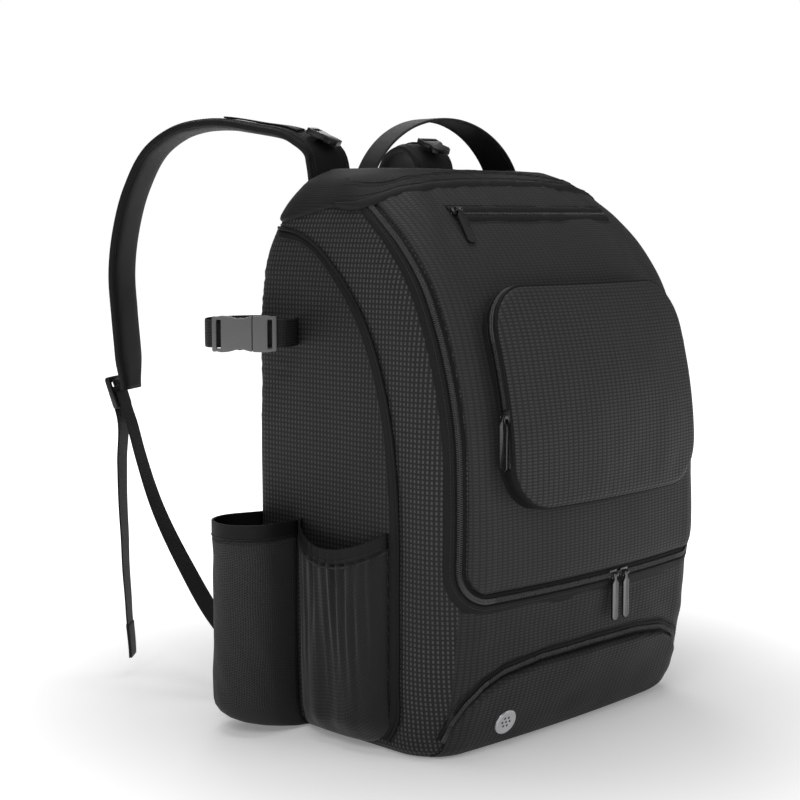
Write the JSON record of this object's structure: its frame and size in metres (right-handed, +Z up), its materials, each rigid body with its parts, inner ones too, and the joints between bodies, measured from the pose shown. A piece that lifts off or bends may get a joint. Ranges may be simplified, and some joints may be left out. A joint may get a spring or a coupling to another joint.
{
  "type": "baseball bat backpack",
  "caption": "Upright fabric backpack with a domed zip-open front, a lower shoe compartment, side bat sleeves with buckled straps, bottle pockets and padded shoulder straps.",
  "frame": {"origin": "middle of the flat base, on the floor", "axes": "+Z up, -Y towards the front pockets, +Y towards the back panel, X across, with the left side at -X"},
  "size_m": [0.5386, 0.5221, 0.5776],
  "materials": {
    "ripstop": "small rectangular dobby weave, satin",
    "soft_front": "fine weave, slightly sheened",
    "trim": "plain woven trim, matte",
    "mesh_fabric": "spacer mesh, matte",
    "webbing": "flat woven webbing",
    "grey_plastic": "moulded, satin",
    "black_plastic": "moulded, satin",
    "zipper_tape": "woven tape with a nylon coil",
    "metal": "satin"
  },
  "bodies": {
    "bag": {"main_shell": "ripstop", "lower_front": "ripstop", "shoe_flap": "ripstop", "small_pocket": "ripstop", "side_panel_left": "ripstop", "side_panel_right": "ripstop", "front_flap": "soft_front", "bottle_pocket_left": "soft_front", "bottle_pocket_right": "soft_front", "top_yoke": "trim", "side_piping_left": "trim", "side_piping_right": "trim", "sleeve_binding_left": "trim", "sleeve_binding_right": "trim", "pocket_binding_left": "trim", "pocket_binding_right": "trim", "back_panel": "mesh_fabric", "bat_sleeve_left": "mesh_fabric", "bat_sleeve_right": "mesh_fabric", "shoulder_strap_left": "mesh_fabric", "shoulder_strap_right": "mesh_fabric", "grab_handle": "webbing", "bat_strap_front_left": "webbing", "bat_strap_front_right": "webbing", "bat_strap_rear_left": "webbing", "bat_strap_rear_right": "webbing", "strap_tail_left": "webbing", "strap_tail_right": "webbing", "lock_webbing_left": "webbing", "lock_webbing_right": "webbing", "sternum_webbing_left": "webbing", "sternum_webbing_right": "webbing", "strap_webbing_left": "webbing", "strap_webbing_right": "webbing", "strap_anchor_left": "webbing", "strap_anchor_right": "webbing", "buckle_plug_left": "grey_plastic", "buckle_plug_right": "grey_plastic", "buckle_socket_left": "grey_plastic", "buckle_socket_right": "grey_plastic", "ladder_lock_left": "black_plastic", "ladder_lock_right": "black_plastic", "sternum_buckle_left": "black_plastic", "sternum_buckle_right": "black_plastic", "main_zipper": "zipper_tape", "shoe_zipper": "zipper_tape", "small_pocket_zipper": "zipper_tape", "top_pocket_zipper": "zipper_tape", "vent_eyelet": "metal", "main_left_slider": "metal", "main_right_slider": "metal", "top_pocket_slider": "metal", "small_pocket_slider": "metal"},
    "main_left_tab": {"main_left_pull": "black_plastic"},
    "main_right_tab": {"main_right_pull": "black_plastic"},
    "top_pocket_tab": {"top_pocket_pull": "black_plastic"},
    "small_pocket_tab": {"small_pocket_pull": "black_plastic"}
  },
  "joints": [
    {"name": "main_left_swing", "type": "hinge", "parent": "bag", "child": "main_left_tab", "pos_m": [0.02213, -0.16248, 0.14667], "axis": [-0.9998, -0.0211, 0], "range_deg": [0, 120]},
    {"name": "main_right_swing", "type": "hinge", "parent": "bag", "child": "main_right_tab", "pos_m": [0.03913, -0.16213, 0.14667], "axis": [-0.9998, -0.0211, 0], "range_deg": [0, 120]},
    {"name": "top_pocket_swing", "type": "hinge", "parent": "bag", "child": "top_pocket_tab", "pos_m": [-0.09965, -0.07315, 0.48782], "axis": [-0.9777, 0.2071, 0.0356], "range_deg": [0, 120]},
    {"name": "small_pocket_swing", "type": "hinge", "parent": "bag", "child": "small_pocket_tab", "pos_m": [-0.13825, -0.16195, 0.31], "axis": [0, 1, 0], "range_deg": [0, 120]}
  ]
}
